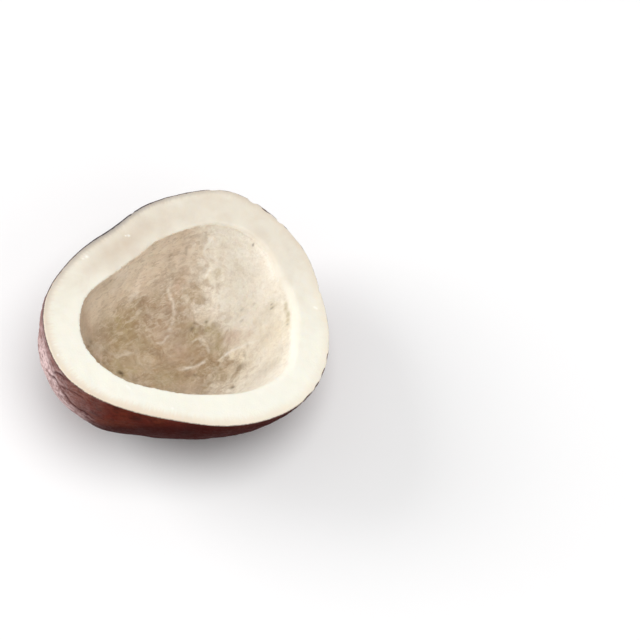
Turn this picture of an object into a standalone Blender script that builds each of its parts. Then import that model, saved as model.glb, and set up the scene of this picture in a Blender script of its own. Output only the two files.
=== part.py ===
"""Half of a dried coconut kernel: a thick cup of flesh in its brown skin, cut face up."""
import math

import bmesh
import bpy
import numpy as np
from mathutils import Matrix, Vector

NAME = "dried_coconut_half"
MM = 0.001

# Lengths are in millimetres and angles in degrees. Clock angles run anticlockwise from +X.

# Outer edge of the cut from its centre, every 15 degrees round the clock
RIM_RADII = (
    45.5, 45.0, 46.5, 48.5, 50.0, 50.5, 46.5, 42.5, 39.0, 37.0, 38.0, 40.0,
    43.0, 45.0, 46.0, 45.5, 43.0, 41.0, 40.5, 42.0, 44.0, 46.0, 47.0, 46.5,
)
# Width of the flesh on the cut, at the same clock angles
FLESH_WIDTHS = (
    12.5, 11.5, 13.0, 12.5, 12.5, 14.5, 15.0, 14.5, 13.5, 13.0, 13.5, 13.0,
    12.0, 11.5, 11.0, 11.0, 10.0, 10.0, 10.0, 11.0, 11.0, 11.5, 11.5, 12.5,
)
HOLLOW_RADII = tuple(rim - flesh for rim, flesh in zip(RIM_RADII, FLESH_WIDTHS))
DEPTH = 40.5
FLESH_AT_KEEL = 11.5
WALL_SLOPE = 4.5
KEEL_SHIFT = (-7.5, -4.5)
# How fast the edge's waves die away down a wall, all but the oval one
WAVE_FADE = 0.8
OUTER_EDGE_ROUND = 0.6
INNER_EDGE_ROUND = 1.6

# Swell and flat halfway down the skin: clock angle, spread in degrees, height
SKIN_SWELLS = ((180.0, 24.0, 0.7), (289.0, 28.0, -3.3))
# Furrows down a wall: how many round the clock, how far they drift in radians, depth
SKIN_FURROWS = ((9, 1.3, 0.25), (14, 4.0, 0.18))
HOLLOW_FURROWS = ((5, 2.1, 0.35), (8, 5.2, 0.25))

LEAN = 15.0
LEAN_TOWARDS = 25.0
SEAT_CUT = 0.7

CLOCK_STEPS = 84
HOLLOW_STEPS = 15
INNER_EDGE_STEPS = 3
FACE_STEPS = 4
OUTER_EDGE_STEPS = 2
SKIN_STEPS = 17

FLESH_COLOUR = (0.88, 0.79, 0.65, 1.0)
FLESH_ROUGHNESS = 0.6


def round_clock(values, angle, reach=1.0):
    """Smooth closed curve through values at even clock angles, with fewer waves at less reach."""
    count = len(values)
    waves = np.fft.rfft(values) / count
    total = waves[0].real
    for k in range(1, len(waves)):
        share = 1.0 if 2 * k == count else 2.0
        share *= reach ** (WAVE_FADE * abs(k - 2))
        total += share * (waves[k].real * math.cos(k * angle) - waves[k].imag * math.sin(k * angle))
    return total


def swell(angle):
    """Height of the swell and the flat at a clock angle."""
    total = 0.0
    for centre, spread, height in SKIN_SWELLS:
        turn = (angle - math.radians(centre) + math.pi) % (2 * math.pi) - math.pi
        total += height * math.exp(-0.5 * (turn / math.radians(spread)) ** 2)
    return total


def furrow(kinds, angle, share):
    """Height of the furrows at a share of the way down a wall."""
    total = 0.0
    for count, drift, depth in kinds:
        total += depth * math.sin(count * angle + drift * (1 + share))
    return total


def wall_point(radii, depth, angle, share, rise):
    """Point of a wall, from its edge at share 0 to its lowest point at share 1, raised outwards."""
    start = math.radians(WALL_SLOPE)
    slope = start + (math.pi / 2 - start) * share
    drop = (math.sin(slope) - math.sin(start)) / (1 - math.sin(start))
    reach = math.cos(slope) / math.cos(start)
    rise *= math.sin(math.pi * share) ** 2 * reach
    radius = round_clock(radii, angle, reach) * reach + rise * math.cos(slope)
    shift = drop * depth / DEPTH
    x = radius * math.cos(angle) + KEEL_SHIFT[0] * shift
    y = radius * math.sin(angle) + KEEL_SHIFT[1] * shift
    return Vector((x, y, -depth * drop - rise * math.sin(slope)))


def skin_point(angle, share):
    rise = swell(angle) + furrow(SKIN_FURROWS, angle, share)
    point = wall_point(RIM_RADII, DEPTH, angle, share, rise)
    point.z -= OUTER_EDGE_ROUND * (1 - share) ** 4
    return point


def hollow_point(angle, share):
    rise = furrow(HOLLOW_FURROWS, angle, share)
    point = wall_point(HOLLOW_RADII, DEPTH - FLESH_AT_KEEL, angle, share, rise)
    point.z -= INNER_EDGE_ROUND * (1 - share) ** 4
    return point


def face_point(angle, share):
    """Point of the cut face, between the two rounded edges."""
    inner = round_clock(HOLLOW_RADII, angle) + INNER_EDGE_ROUND
    outer = round_clock(RIM_RADII, angle) - OUTER_EDGE_ROUND
    radius = inner + (outer - inner) * share
    return Vector((radius * math.cos(angle), radius * math.sin(angle), 0.0))


def edge_point(radii, size, side, angle, share):
    """Point of a rounded edge, from the cut face at share 0 to its wall at share 1."""
    turn = share * math.pi / 2
    radius = round_clock(radii, angle) - side * size * (1 - math.sin(turn))
    drop = size * (1 - math.cos(turn))
    return Vector((radius * math.cos(angle), radius * math.sin(angle), -drop))


def section():
    """The stops along one section, from the hollow's lowest point over the cut to the keel."""
    stops = []
    for i in range(HOLLOW_STEPS + 1):
        stops.append(("hollow", 1 - i / HOLLOW_STEPS))
    for i in range(1, INNER_EDGE_STEPS + 1):
        stops.append(("inner edge", 1 - i / INNER_EDGE_STEPS))
    for i in range(1, FACE_STEPS):
        stops.append(("face", i / FACE_STEPS))
    for i in range(OUTER_EDGE_STEPS):
        stops.append(("outer edge", i / OUTER_EDGE_STEPS))
    for i in range(SKIN_STEPS + 1):
        stops.append(("skin", i / SKIN_STEPS))
    return stops


def section_point(angle, stop):
    part, share = stop
    if part == "hollow":
        return hollow_point(angle, share)
    if part == "inner edge":
        return edge_point(HOLLOW_RADII, INNER_EDGE_ROUND, -1, angle, share)
    if part == "face":
        return face_point(angle, share)
    if part == "outer edge":
        return edge_point(RIM_RADII, OUTER_EDGE_ROUND, 1, angle, share)
    return skin_point(angle, share)


def shape_half(mesh, stops):
    """Sends each ring of a sphere to its stop along the section."""
    rings = len(stops) - 1
    for vert in mesh.verts:
        polar = math.acos(max(-1.0, min(1.0, vert.co.z)))
        angle = math.atan2(vert.co.y, vert.co.x)
        vert.co = section_point(angle, stops[round(polar / math.pi * rings)])


def lean_over(mesh):
    """Turns the half from its cut plane to the way that it lies."""
    towards = math.radians(LEAN_TOWARDS)
    axis = Vector((-math.sin(towards), math.cos(towards), 0.0))
    bmesh.ops.rotate(mesh, verts=mesh.verts, matrix=Matrix.Rotation(math.radians(LEAN), 3, axis))


def flatten_seat(mesh):
    """Wears a small flat spot where the skin rests."""
    seat = min(vert.co.z for vert in mesh.verts) + SEAT_CUT
    for vert in mesh.verts:
        vert.co.z = max(vert.co.z, seat)


def centre_on_floor(mesh):
    xs = [vert.co.x for vert in mesh.verts]
    ys = [vert.co.y for vert in mesh.verts]
    base = min(vert.co.z for vert in mesh.verts)
    shift = Vector((-(min(xs) + max(xs)) / 2, -(min(ys) + max(ys)) / 2, -base))
    bmesh.ops.translate(mesh, verts=mesh.verts, vec=shift)


def flesh_material():
    material = bpy.data.materials.new("coconut_flesh")
    material.use_nodes = True
    shader = material.node_tree.nodes["Principled BSDF"]
    shader.inputs["Base Color"].default_value = FLESH_COLOUR
    shader.inputs["Roughness"].default_value = FLESH_ROUGHNESS
    shader.inputs["Metallic"].default_value = 0.0
    return material


def build_half():
    stops = section()
    mesh = bmesh.new()
    bmesh.ops.create_uvsphere(mesh, u_segments=CLOCK_STEPS, v_segments=len(stops) - 1, radius=1.0)
    shape_half(mesh, stops)
    lean_over(mesh)
    flatten_seat(mesh)
    centre_on_floor(mesh)
    bmesh.ops.scale(mesh, verts=mesh.verts, vec=Vector((MM, MM, MM)))
    bmesh.ops.triangulate(mesh, faces=mesh.faces)
    data = bpy.data.meshes.new(NAME)
    mesh.to_mesh(data)
    mesh.free()
    data.shade_smooth()
    data.materials.append(flesh_material())
    return bpy.data.objects.new(NAME, data)


def clear_scene():
    for item in list(bpy.data.objects):
        bpy.data.objects.remove(item)


clear_scene()
group = bpy.data.collections.new("dried_coconut")
bpy.context.scene.collection.children.link(group)
group.objects.link(build_half())
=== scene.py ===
"""Half of a dried coconut kernel, lying cut face up on a pale floor."""
import collections
import math

import bpy
import numpy as np
from mathutils import Matrix, Vector, noise


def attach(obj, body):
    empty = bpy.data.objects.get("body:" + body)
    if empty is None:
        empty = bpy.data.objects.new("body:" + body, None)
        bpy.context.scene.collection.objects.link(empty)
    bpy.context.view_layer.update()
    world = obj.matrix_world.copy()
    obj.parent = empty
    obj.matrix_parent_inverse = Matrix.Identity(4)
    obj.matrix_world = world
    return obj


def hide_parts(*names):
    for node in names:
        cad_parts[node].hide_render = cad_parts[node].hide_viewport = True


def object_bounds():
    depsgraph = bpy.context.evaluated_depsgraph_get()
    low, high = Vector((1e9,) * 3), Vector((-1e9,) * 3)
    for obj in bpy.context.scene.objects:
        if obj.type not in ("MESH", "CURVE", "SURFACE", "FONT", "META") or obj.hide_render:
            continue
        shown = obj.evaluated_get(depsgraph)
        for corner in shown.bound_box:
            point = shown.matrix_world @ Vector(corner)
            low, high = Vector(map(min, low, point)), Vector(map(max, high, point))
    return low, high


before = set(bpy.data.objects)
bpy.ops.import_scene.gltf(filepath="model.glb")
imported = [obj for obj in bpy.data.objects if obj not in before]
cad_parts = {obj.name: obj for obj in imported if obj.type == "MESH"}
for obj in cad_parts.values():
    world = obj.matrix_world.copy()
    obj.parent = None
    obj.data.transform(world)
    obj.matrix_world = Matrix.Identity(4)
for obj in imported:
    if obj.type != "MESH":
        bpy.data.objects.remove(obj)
CAD_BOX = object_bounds()
MM = 0.001

# Lengths are in millimetres and angles in degrees. Clock angles run anticlockwise from +X.
# The half's own axes: P and Q lie in the cut and N points out of it.
# A share runs from 0 where a wall, an edge or the cut begins to 1 where it ends.

# Outer edge of the cut from its centre, every 15 degrees round the clock
RIM_RADII = (
    45.5, 45.0, 46.5, 48.5, 50.0, 50.5, 46.5, 42.5, 39.0, 37.0, 38.0, 40.0,
    43.0, 45.0, 46.0, 45.5, 43.0, 41.0, 40.5, 42.0, 44.0, 46.0, 47.0, 46.5,
)
# Width of the flesh on the cut, at the same clock angles
FLESH_WIDTHS = (
    12.5, 11.5, 13.0, 12.5, 12.5, 14.5, 15.0, 14.5, 13.5, 13.0, 13.5, 13.0,
    12.0, 11.5, 11.0, 11.0, 10.0, 10.0, 10.0, 11.0, 11.0, 11.5, 11.5, 12.5,
)
HOLLOW_RADII = tuple(rim - flesh for rim, flesh in zip(RIM_RADII, FLESH_WIDTHS))
MEAN_RIM = sum(RIM_RADII) / len(RIM_RADII)
DEPTH = 40.5
FLESH_AT_KEEL = 11.5
# How far the walls lean inwards at their edges, and how far their lowest point lies off the centre
WALL_SLOPE = 4.5
KEEL_SHIFT = (-7.5, -4.5)
# How fast the edge's waves die away down a wall, all but the oval one
WAVE_FADE = 0.8
OUTER_EDGE_ROUND = 0.6
# Radius of the hollow's edge where it is crisp, and how much more it has where it is softest
INNER_EDGE_ROUND = 0.9
INNER_EDGE_SOFTER = 2.6
# How slowly the crisp edge turns down, 1 for a quarter circle, and how much shallower the softest is
EDGE_EASE = 1.5
SOFT_SAG = 0.4
# Power by which the drop of a rounded edge dies away down its wall
EDGE_DROP_FADE = 4
# Where round the clock the hollow's edge is softest, and how far that spreads
SOFT_ARC = (2.0, 42.0)
# How far the wall slopes inwards under the soft edge, most at a share of the way down
SOFT_WALL = 2.6
SOFT_WALL_AT = 0.2
# Swell and flat of the skin: clock angle, spread, height
SKIN_SWELLS = ((180.0, 24.0, 0.7), (289.0, 28.0, -3.3))
# Furrows down a wall: how many round the clock, how far they drift in radians, depth
SKIN_FURROWS = ((9, 1.3, 0.25), (14, 4.0, 0.18))
HOLLOW_FURROWS = ((5, 2.1, 0.35), (8, 5.2, 0.25))
LEAN = 15.0
LEAN_TOWARDS = 25.0
SEAT_CUT = 0.7

# Cells along each side of the two square grids that are bent into the hollow and the skin
GRID = 240
INNER_EDGE_STEPS = 7
FACE_STEPS = 30
OUTER_EDGE_STEPS = 6

# The zones of the surface
HOLLOW, INNER_EDGE, FACE, OUTER_EDGE, SKIN = range(5)


def smooth(low, high, values):
    """0 at low, 1 at high and a smooth step between, whichever of them is larger."""
    share = np.clip((values - low) / (high - low), 0.0, 1.0)
    return share * share * (3 - 2 * share)


def bump_at(values, centre, spread):
    """1 at the centre, falling to 0 over its spread."""
    return np.exp(-0.5 * ((values - centre) / spread) ** 2)


def fade(distance, reach):
    """1 at no distance, falling to 0 beyond a reach."""
    return np.exp(-((distance / reach) ** 2))


def clock_gap(clock, centre):
    """Degrees from a clock angle to another, from -180 to 180."""
    return (clock - centre + 180.0) % 360.0 - 180.0


def clock_bump(clock, centre, spread):
    return bump_at(clock_gap(clock, centre), 0.0, spread)


def round_clock(values, angle, reach=1.0):
    """Smooth closed curve through values at even clock angles, with fewer waves at less reach."""
    count = len(values)
    waves = np.fft.rfft(values) / count
    total = np.full(np.shape(angle), waves[0].real)
    for k in range(1, len(waves)):
        share = 1.0 if 2 * k == count else 2.0
        wave = waves[k].real * np.cos(k * angle) - waves[k].imag * np.sin(k * angle)
        total += share * reach ** (WAVE_FADE * abs(k - 2)) * wave
    return total


def ring_points(radius, angle, height):
    """Points round the clock at a radius and a height."""
    return np.stack([radius * np.cos(angle), radius * np.sin(angle), height + 0 * angle], axis=-1)


def edge_softness(angle):
    """1 where the hollow's edge is softest, 0 where it is crisp."""
    return clock_bump(np.degrees(angle), *SOFT_ARC)


def inner_round(angle):
    return INNER_EDGE_ROUND + INNER_EDGE_SOFTER * edge_softness(angle)


def inner_drop(angle):
    return inner_round(angle) * (1 - SOFT_SAG * edge_softness(angle))


def swell(angle):
    """Height of the skin's swell and flat at a clock angle."""
    total = np.zeros(np.shape(angle))
    for centre, spread, height in SKIN_SWELLS:
        total += height * clock_bump(np.degrees(angle), centre, spread)
    return total


def furrow(kinds, angle, share):
    """Height of the furrows at a share of the way down a wall."""
    total = np.zeros(np.shape(angle))
    for count, drift, depth in kinds:
        total += depth * np.sin(count * angle + drift * (1 + share))
    return total


def wall_points(radii, depth, angle, share, rise):
    """Points of a wall, from its edge at share 0 to its lowest point at share 1."""
    start = math.radians(WALL_SLOPE)
    slope = start + (math.pi / 2 - start) * share
    drop = (np.sin(slope) - math.sin(start)) / (1 - math.sin(start))
    reach = np.clip(np.cos(slope) / math.cos(start), 0.0, 1.0)
    rise = rise * np.sin(math.pi * share) ** 2 * reach
    radius = round_clock(radii, angle, reach) * reach + rise * np.cos(slope)
    shift = drop * depth / DEPTH
    x = radius * np.cos(angle) + KEEL_SHIFT[0] * shift
    y = radius * np.sin(angle) + KEEL_SHIFT[1] * shift
    return np.stack([x, y, -depth * drop - rise * np.sin(slope)], axis=-1)


def skin_points(angle, share):
    rise = swell(angle) + furrow(SKIN_FURROWS, angle, share)
    points = wall_points(RIM_RADII, DEPTH, angle, share, rise)
    points[..., 2] -= OUTER_EDGE_ROUND * (1 - share) ** EDGE_DROP_FADE
    return points


def hollow_points(angle, share):
    rise = furrow(HOLLOW_FURROWS, angle, share)
    points = wall_points(HOLLOW_RADII, DEPTH - FLESH_AT_KEEL, angle, share, rise)
    slide = SOFT_WALL * edge_softness(angle) * (share / SOFT_WALL_AT) * np.exp(1 - share / SOFT_WALL_AT)
    slide *= np.clip(1 - share, 0.0, 1.0)
    return points - ring_points(slide, angle, inner_drop(angle) * (1 - share) ** EDGE_DROP_FADE)


def face_points(angle, share):
    inner = round_clock(HOLLOW_RADII, angle) + inner_round(angle)
    outer = round_clock(RIM_RADII, angle) - OUTER_EDGE_ROUND
    return ring_points(inner + (outer - inner) * share, angle, 0.0)


def inner_edge_points(angle, share):
    """The hollow's edge: a quarter circle where it is crisp, a slack curve where it is soft."""
    turn = share * math.pi / 2
    soft = edge_softness(angle)
    across = (1 - soft) * np.sin(turn) + soft * share
    down = (1 - soft) * (1 - np.cos(turn)) ** EDGE_EASE + soft * share**2
    radius = round_clock(HOLLOW_RADII, angle) + inner_round(angle) * (1 - across)
    return ring_points(radius, angle, -inner_drop(angle) * down)


def outer_edge_points(angle, share):
    turn = share * math.pi / 2
    radius = round_clock(RIM_RADII, angle) - OUTER_EDGE_ROUND * (1 - np.sin(turn))
    return ring_points(radius, angle, -OUTER_EDGE_ROUND * (1 - np.cos(turn)))


def disc_grid():
    """Clock angle and share of a square grid bent into a disc, share 0 at its edge."""
    line = np.linspace(-1.0, 1.0, GRID + 1)
    u, v = np.meshgrid(line, line, indexing="ij")
    x = u * np.sqrt(1 - v * v / 2)
    y = v * np.sqrt(1 - u * u / 2)
    return np.arctan2(y, x).ravel(), np.clip(1 - np.hypot(x, y), 0.0, 1.0).ravel()


def grid_loop():
    """The grid's edge, anticlockwise."""
    index = np.arange((GRID + 1) ** 2).reshape(GRID + 1, GRID + 1)
    sides = [index[-1, :-1], index[:0:-1, -1], index[0, :0:-1], index[:-1, 0]]
    return np.concatenate(sides)


def grid_quads():
    index = np.arange((GRID + 1) ** 2).reshape(GRID + 1, GRID + 1)
    corners = [index[:-1, :-1], index[1:, :-1], index[1:, 1:], index[:-1, 1:]]
    return np.stack([corner.ravel() for corner in corners], axis=-1)


def ring_quads(inner, outer):
    return np.stack([inner, outer, np.roll(outer, -1), np.roll(inner, -1)], axis=-1)


class Surface:
    """The half's whole surface as arrays: where each point lies, and in which zone."""

    def __init__(self):
        self.parts = {"point": [], "angle": [], "share": [], "zone": []}
        self.quads = []
        self.count = 0
        loop = self.add_grid(HOLLOW, hollow_points)
        angle = self.parts["angle"][0][loop]
        for zone, shape, shares in (
            (INNER_EDGE, inner_edge_points, np.linspace(1, 0, INNER_EDGE_STEPS + 1)[1:]),
            (FACE, face_points, np.linspace(0, 1, FACE_STEPS + 1)[1:-1]),
            (OUTER_EDGE, outer_edge_points, np.linspace(0, 1, OUTER_EDGE_STEPS + 1)[:-1]),
        ):
            for share in shares:
                loop = self.add_ring(zone, shape(angle, share), angle, share, loop)
        skin_loop = self.add_grid(SKIN, skin_points)
        self.quads.append(ring_quads(loop, skin_loop))
        self.point = np.concatenate(self.parts["point"])
        self.angle = np.concatenate(self.parts["angle"])
        self.share = np.concatenate(self.parts["share"])
        self.zone = np.concatenate(self.parts["zone"])
        self.quads = np.concatenate(self.quads)
        self.clock = np.degrees(self.angle) % 360.0
        self.measure()

    def measure(self):
        """How far each point is down the skin, inward from the outer edge and from the hollow."""
        outer = round_clock(RIM_RADII, self.angle)
        inner = round_clock(HOLLOW_RADII, self.angle)
        radius = np.hypot(self.point[:, 0], self.point[:, 1])
        skin_run = (MEAN_RIM + DEPTH) / 2 * (math.pi / 2 - math.radians(WALL_SLOPE))
        on_skin = self.zone == SKIN
        in_hollow = np.isin(self.zone, (HOLLOW, INNER_EDGE))
        self.down = np.where(on_skin, self.share * skin_run, 0.0)
        self.inward = np.where(on_skin, -self.down, outer - radius)
        self.from_hollow = np.where(in_hollow, -self.point[:, 2], np.where(on_skin, DEPTH, radius - inner))
        self.cut_share = (radius - inner) / (outer - inner)

    def add(self, zone, points, angle, share):
        first = self.count
        self.count += len(points)
        self.parts["point"].append(points)
        self.parts["angle"].append(angle)
        self.parts["share"].append(np.broadcast_to(share, angle.shape))
        self.parts["zone"].append(np.full(len(points), zone))
        return first

    def add_grid(self, zone, shape):
        angle, share = disc_grid()
        first = self.add(zone, shape(angle, share), angle, share)
        quads = grid_quads() + first
        self.quads.append(quads if zone == HOLLOW else quads[:, ::-1])
        return grid_loop() + first

    def add_ring(self, zone, points, angle, share, inner):
        first = self.add(zone, points, angle, share)
        outer = np.arange(first, first + len(angle))
        self.quads.append(ring_quads(inner, outer))
        return outer

    def normals(self):
        corners = self.point[self.quads]
        across = np.cross(corners[:, 2] - corners[:, 0], corners[:, 3] - corners[:, 1])
        total = np.zeros_like(self.point)
        for i in range(4):
            np.add.at(total, self.quads[:, i], across)
        return total / np.maximum(np.linalg.norm(total, axis=1, keepdims=True), 1e-12)


# Noises of the relief and the marks: size, the same all ways or one for each axis, seed, octaves and
# strength; for patches also the range over which they grow from 0 to 1
NOISES = {
    "fibre": ((6, 1.5, 2.2), 3.1, 1, 1), "long fibre": ((11, 3.2, 4), 9.4, 1, 1),
    "fibre patch": (7, 1.7, 1, 1, (-0.3, 0.5)), "mottle": ((5, 2.6, 3.2), 5.5, 4, 0.07),
    "hollow wave": (8, 2.2, 1, 0.22), "thin": (5, 41, 3, 2.5), "deep": (9, 42, 2, 0.35),
    "cream_and_light": (6, 40, 3, 1.1), "lining": (1.2, 43, 2, 0.22), "edge shade": (1.6, 44, 1, 1, (-0.7, 0.3)),
    "cut wave": (9, 6.1, 1, 0.14), "cut ripple": (2.6, 8.3, 1, 0.05), "cut cloud": (9, 12.4, 2, 0.035),
    "crumble": (1.7, 45, 1, 0.16), "crumb": (0.7, 46, 1, 0.12), "edge wave": (4.5, 14.2, 1, 0.1),
    "edge ripple": (1.3, 15.1, 1, 0.07), "skin gone": (2.2, 17, 1, 0.12), "skin nicked": (0.8, 19, 1, 0.08),
    "skin wave": (9, 22, 2, 1), "fold": ((9, 9, 2.6), 26, 1, 1), "fold patch": (16, 27, 1, 1, (0.1, 0.7)),
    "net patch": (13, 29, 1, 1, (-0.5, 0.4)), "skin grain": (1.3, 30, 3, 0.07),
    "skin fibre": ((6, 6, 4), 32, 1, 1), "skin fibre patch": (7, 33, 1, 1, (0, 0.6)),
    "bloom": (7, 35, 3, 0.45),
}
# Seed of the noise that pushes points about, so that each run gives the same half
NOISE_SEED = 7
# Pushes by which a pattern wanders: size, how far, seed
WARPS = {
    "fibre": (9, 3.5, 7.7), "vein": (2.5, 0.5, 4.4), "stain": (4, 1.3, 4.9), "net": (6, 3, 21),
    "fold": (6, 3, 25), "skin fibre": (11, 7, 31), "crease": (2.5, 0.5, 34),
}
# Gains of noises with one octave and with more, and how fast the finer octaves die away and shrink
NOISE_GAIN = 1.6
OCTAVES_GAIN = 1.3
OCTAVES_FADE = 0.8
OCTAVES_STEP = 2
RIDGE_SHARPNESS = 3.2
# Cells of the fine cracks, their seed, and the width of a crack as a share of a cell
CRACK_CELLS = (4.6, 4.6, 5.6)
CRACK_SEED = 28
CRACK_WIDTH = 0.22
# Strength of a line at its very ends, and how fast it grows from there
LINE_TIP = 0.25
LINE_TAPER = 6

noise.seed_set(NOISE_SEED)


def perlin(points, name):
    """Smooth noise about as strong as its table says, or patches from 0 to 1 where that has a range."""
    size, seed, octaves, strength, *ranges = NOISES[name]
    places = points / np.array(size, float) + seed
    if octaves == 1:
        level = np.array([noise.noise(Vector(p)) for p in places]) * NOISE_GAIN
    else:
        levels = [noise.fractal(Vector(p), OCTAVES_FADE, OCTAVES_STEP, octaves) for p in places]
        level = np.array(levels) * OCTAVES_GAIN
    return smooth(*ranges[0], level) if ranges else level * strength


def ridges(points, name):
    """Thin raised lines on 0 ground: 1 along the zero lines of a noise."""
    return 1 - np.clip(np.abs(perlin(points, name)) * RIDGE_SHARPNESS, 0, 1)


def warped(points, name):
    """Points pushed about by smooth noise, so that what is laid on them wanders."""
    size, amount, seed = WARPS[name]
    pushes = np.array([tuple(noise.noise_vector(Vector(p))) for p in points / size + seed])
    return points + pushes * amount


def cracks(points):
    """1 along the borders of irregular cells, falling to 0 beside them."""
    places = points / np.array(CRACK_CELLS) + CRACK_SEED
    near = np.array([noise.voronoi(Vector(p))[0][:2] for p in places])
    return 1 - smooth(0, CRACK_WIDTH, near[:, 1] - near[:, 0])


def line_gap(places, line, smoothing=6):
    """Distance from each place to a smooth line through a few points, and how far along it is."""
    line = np.array(line, float)
    ends = np.vstack([2 * line[0] - line[1], line, 2 * line[-1] - line[-2]])
    run = []
    for i in range(1, len(ends) - 2):
        for step in range(smoothing):
            t = step / smoothing
            a, b, c, d = ends[i - 1:i + 3]
            run.append(0.5 * (2 * b + (c - a) * t + (2 * a - 5 * b + 4 * c - d) * t**2
                              + (3 * b - a - 3 * c + d) * t**3))
    run.append(line[-1])
    run = np.array(run)
    best = np.full(len(places), 1e9)
    along = np.zeros(len(places))
    for i in range(len(run) - 1):
        span = run[i + 1] - run[i]
        t = np.clip((places - run[i]) @ span / (span @ span), 0, 1)
        gap = np.linalg.norm(places - run[i] - t[:, None] * span, axis=1)
        nearer = gap < best
        best[nearer] = gap[nearer]
        along[nearer] = (i + t[nearer]) / (len(run) - 1)
    return best, along


def line_mark(places, line, width):
    """1 along a line, fading out over its width and towards its two ends."""
    gap, along = line_gap(places, line)
    return fade(gap, width) * np.clip(LINE_TAPER * np.minimum(along, 1 - along) + LINE_TIP, 0, 1)


def stain(places, line, width):
    """1 along a stroke or at a round patch, fading out over its width."""
    if len(line) == 1:
        return fade(np.linalg.norm(places - np.array(line[0]), axis=1), width)
    return line_mark(places, line, width)


def blobs(p, q, patches):
    """Round soft patches: place, radius and strength of each."""
    total = np.zeros(len(p))
    for centre_p, centre_q, radius, strength in patches:
        total = np.maximum(total, strength * fade(np.hypot(p - centre_p, q - centre_q), radius))
    return total


# Where round the clock these are strongest, and how far they spread
ARCS = {
    "thin": (134, 50), "edge shade": (220, 26), "left cut": (168, 26), "upper cut": (105, 48),
    "right cut": (38, 30), "band": (135, 30), "greyed": (128, 34), "fringe": (240, 50), "pushed": (303, 13),
    "crumble": (222, 34), "rough": (70, 55), "cut skin": (125, 46), "calm": (248, 58),
}
# Stretches round the clock: the middle, and how far from it they begin and are whole
SPANS = {
    "folds": (195, 44, 20), "low": (280, 75, 40), "bloom": (187, 54, 12), "front dust and sheen": (214, 31, 8),
}
# Ranges over which these grow from 0 to 1, most of them in millimetres down a wall
RAMPS = {
    "relief": (0, 5), "thin": (24, 10), "deep": (7, 24), "by hollow": (0, 0.08), "by skin": (0, 0.06),
    "by edge": (-2.5, 0), "skin relief": (0, 1.6), "folds": (24, 8), "low": (-2, 9), "bloom": (2, 9),
    "front dust and sheen": (-1.5, 5), "dust and sheen end": (44, 6), "seat": (0.1, 3),
}

# Relief of the hollow: the way that its fibres run, their height, and how deep a spot is
FIBRE_TURN = 38
FIBRE_RISE = 0.08
LONG_FIBRE_SHARE = 0.8
SPOT_DENT = 0.25
# A vein of this height or more has its colour in full
VEIN_FULL_AT = 0.18
# Marks in the hollow, in P and Q: raised pale veins with their width and height
VEINS = (
    ((-2.6, 22.3), (-2.9, 20.6), (-2.3, 18.9), (-1.1, 17.8), (-0.5, 16.5), (-0.4, 14), 0.5, 0.1),
    ((-0.4, 14), (-0.5, 11.5), (-1.3, 9.4), 0.5, 0.07), ((-5.8, 4), (-3, 5.4), (-1.1, 8), 0.4, 0.07),
    ((2.3, -4.2), (6.1, -3.9), (8.8, -3.3), (10.6, -1.5), 0.6, 0.13),
    ((14.5, -2.4), (16.8, -1), (18.5, 0.2), (20.8, 0.2), (22.7, 0.8), (24.8, 0), 0.5, 0.2),
    ((6.1, 30.1), (6.7, 31.2), (7.8, 32.1), (9.1, 32.8), 0.5, 0.4),
    ((7.8, 24.5), (8.6, 25.5), (9.2, 26.7), 0.55, 0.3), ((6.2, 5.6), (8.6, 6.8), (10.5, 5.3), 0.35, 0.1),
    ((9.6, 29.4), (11.1, 28.6), (13, 27.9), 0.4, 0.08),
    ((-21.5, -3.2), (-16.7, -2.4), (-11.8, 0.2), 0.6, 0.04),
    ((-22.9, 9.9), (-20.4, 12.6), (-17.8, 15.2), 0.5, 0.1),
    ((-16.4, 12.5), (-15, 14.2), (-13, 16.2), 0.45, 0.08), ((12, 1), (11, 3.5), (9.2, 4.4), 0.3, 0.08),
)
# Small dark spots: P, Q, radius, strength
SPOTS = (
    (-16.1, -8.9, 0.9, 1.1), (-15.9, -10, 0.5, 0.8), (6, 10.3, 0.7, 0.7), (6.6, 12, 0.4, 0.6),
    (10.2, 12.1, 0.5, 0.7), (28.5, 9.9, 0.3, 0.5), (28.5, 8.7, 0.3, 0.6), (21.3, 30, 0.32, 0.7),
    (20.6, 9.2, 0.45, 0.3), (20.1, 12.9, 0.45, 0.25), (18.3, -14.8, 0.6, 0.8), (20.7, -6.8, 1.2, 0.3),
    (13.6, -4.9, 0.8, 0.35), (23.6, 12.7, 0.5, 0.25), (-24, -6.7, 0.5, 0.4), (32.8, 0.5, 0.4, 0.4),
    (-26.9, -3.5, 0.8, 0.4), (0.5, 29.1, 0.5, 0.35), (19.3, 11.6, 0.5, 0.2), (5, -7, 0.7, 0.35),
    (7.6, -6.9, 0.6, 0.4), (-21.5, -7.6, 0.35, 0.6), (-19, -8.9, 0.35, 0.5), (-27.6, -5.4, 0.4, 0.6),
    (-12, -10.6, 0.3, 0.5),
)
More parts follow.
